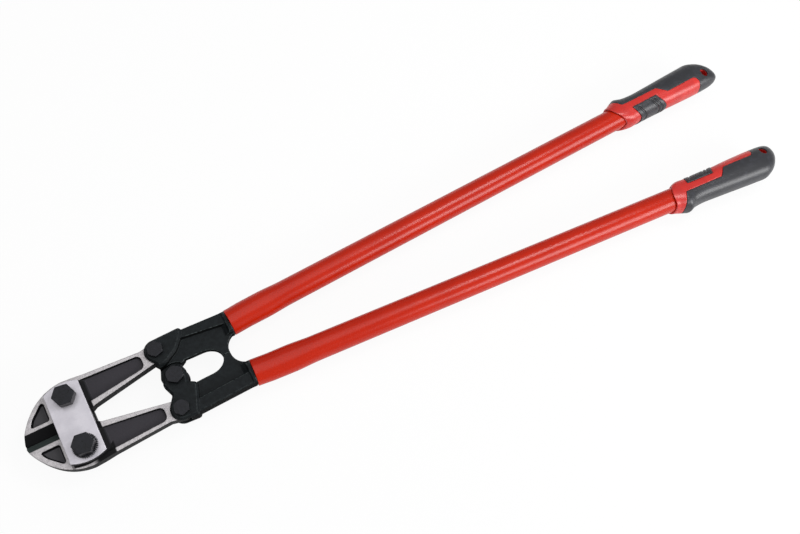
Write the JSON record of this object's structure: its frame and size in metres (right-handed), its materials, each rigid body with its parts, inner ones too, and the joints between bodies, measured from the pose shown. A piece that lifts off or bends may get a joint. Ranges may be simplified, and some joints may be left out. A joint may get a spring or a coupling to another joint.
{
  "type": "bolt cutters",
  "caption": "Long-handled compound-lever bolt cutters with hollowed jaws between steel side plates, forged knuckles, painted tube handles and soft shaped grips.",
  "frame": {"origin": "centre of the bounding box in plan, at the height of the lowest bolt ends", "axes": "+X along the tool from the jaws to the grips, +Y towards the upper handle, +Z away from the ground on the side of the bolt heads"},
  "size_m": [1.06, 0.2096, 0.0611],
  "materials": {
    "plate_steel": "satin",
    "jaw_steel": "ground rims over a dark forging",
    "black_steel": "blackened",
    "black_forging": "black coated forging",
    "red_paint": "semi-gloss",
    "red_plastic": "satin",
    "black_rubber": "soft matt"
  },
  "bodies": {
    "head": {"side_plate_front": "plate_steel", "side_plate_back": "plate_steel", "jaw_bolt_upper": "black_steel", "jaw_bolt_lower": "black_steel", "jaw_nut_upper": "black_steel", "jaw_nut_lower": "black_steel", "jaw_washer_upper": "black_steel", "jaw_washer_lower": "black_steel"},
    "upper_jaw": {"jaw_upper": "jaw_steel"},
    "lower_jaw": {"jaw_lower": "jaw_steel"},
    "upper_handle": {"knuckle_upper": "black_forging", "tube_upper": "red_paint", "grip_core_upper": "red_plastic", "grip_palm_upper": "black_rubber", "grip_insert_upper": "black_rubber", "handle_bolt_upper": "black_steel", "handle_washer_upper": "black_steel", "handle_nut_upper": "black_steel"},
    "lower_handle": {"knuckle_lower": "black_forging", "tube_lower": "red_paint", "grip_core_lower": "red_plastic", "grip_palm_lower": "black_rubber", "grip_insert_lower": "black_rubber", "handle_bolt_lower": "black_steel", "handle_washer_lower": "black_steel", "handle_nut_lower": "black_steel", "centre_bolt": "black_steel", "centre_washer": "black_steel", "centre_nut": "black_steel"}
  },
  "joints": [
    {"name": "upper_jaw_hinge", "type": "hinge", "parent": "head", "child": "upper_jaw", "pos_m": [-0.4712, 0.0305, 0.0298], "axis": [0, 0, 1], "range_deg": [-7.6, 0]},
    {"name": "lower_jaw_hinge", "type": "hinge", "parent": "head", "child": "lower_jaw", "pos_m": [-0.4712, -0.0305, 0.0298], "axis": [0, 0, 1], "range_deg": [0, 7.6]},
    {"name": "upper_handle_hinge", "type": "hinge", "parent": "upper_jaw", "child": "upper_handle", "pos_m": [-0.3632, 0.0384, 0.0298], "axis": [0, 0, 1], "range_deg": [0, 47.58]},
    {"name": "lower_handle_hinge", "type": "hinge", "parent": "lower_jaw", "child": "lower_handle", "pos_m": [-0.3632, -0.0384, 0.0298], "axis": [0, 0, 1], "range_deg": [-47.6, 0]}
  ],
  "couplings": [
    {"joint": "upper_jaw_hinge", "follows": "upper_handle_hinge", "ratio": -0.15935},
    {"joint": "lower_jaw_hinge", "follows": "upper_handle_hinge", "ratio": 0.15935},
    {"joint": "lower_handle_hinge", "follows": "upper_handle_hinge", "ratio": -1}
  ]
}
